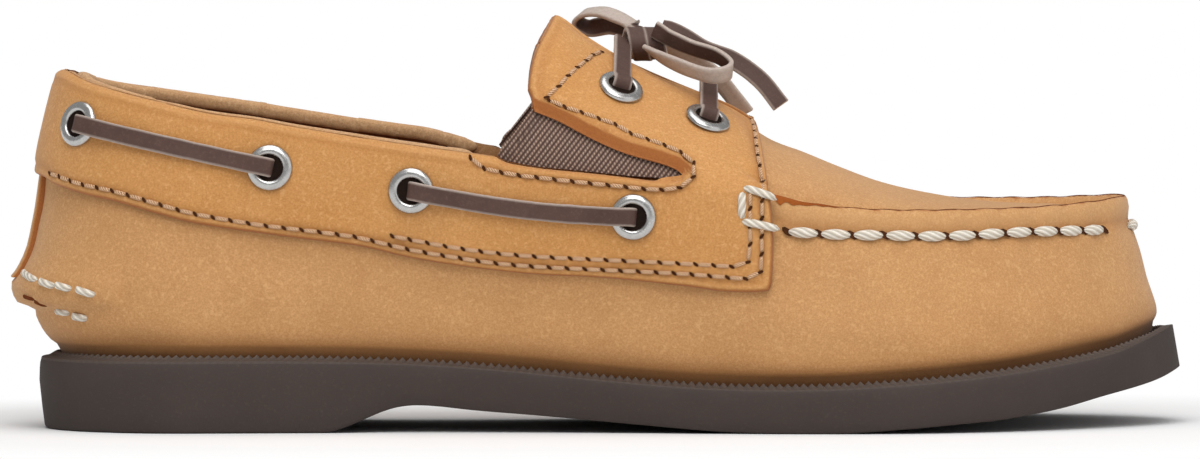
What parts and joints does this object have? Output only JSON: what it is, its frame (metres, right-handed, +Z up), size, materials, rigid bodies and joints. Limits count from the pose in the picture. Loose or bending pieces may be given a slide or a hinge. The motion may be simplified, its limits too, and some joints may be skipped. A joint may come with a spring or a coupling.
{
  "type": "boat shoe",
  "caption": "Right slip-on boat shoe with a moulded sole, hand-sewn moccasin toe, saddle, elastic gores, metal eyelets and rawhide lace.",
  "frame": {"origin": "centre of the flat spot under the heel, 30 mm in front of the sole's back edge", "axes": "+X towards the toe, +Y towards the inner side of the foot, +Z up"},
  "size_m": [0.2547, 0.0912, 0.0923],
  "materials": {
    "sole_rubber": "moulded, matt dark brown",
    "sock_board": "thin leather sock",
    "leather": "nubuck, waxed, tan",
    "saddle_leather": "nubuck, waxed, orange tan",
    "collar_lining": "soft padded leather",
    "elastic": "woven elastic webbing",
    "nickel": "bright nickel plate",
    "rawhide": "cut lace, brown grain and pale flesh side"
  },
  "bodies": {
    "root": {"backstay": "leather", "collar_pad": "collar_lining", "eyelet_lateral_1": "nickel", "eyelet_lateral_2": "nickel", "eyelet_lateral_3": "nickel", "eyelet_lateral_4": "nickel", "eyelet_lateral_5": "nickel", "eyelet_lateral_6": "nickel", "eyelet_medial_1": "nickel", "eyelet_medial_2": "nickel", "eyelet_medial_3": "nickel", "eyelet_medial_4": "nickel", "eyelet_medial_5": "nickel", "eyelet_medial_6": "nickel", "gore_lateral": "elastic", "gore_medial": "elastic", "insole": "sock_board", "lace_bar_instep_front": "rawhide", "lace_bar_instep_rear": "rawhide", "lace_bar_lateral_front": "rawhide", "lace_bar_lateral_rear": "rawhide", "lace_bar_medial_front": "rawhide", "lace_bar_medial_rear": "rawhide", "lace_end_lateral": "rawhide", "lace_end_medial": "rawhide", "lace_knot": "rawhide", "lace_loop_lateral": "rawhide", "lace_loop_medial": "rawhide", "outsole": "sole_rubber", "saddle": "saddle_leather", "tongue": "leather", "upper": "leather"}
  },
  "joints": []
}
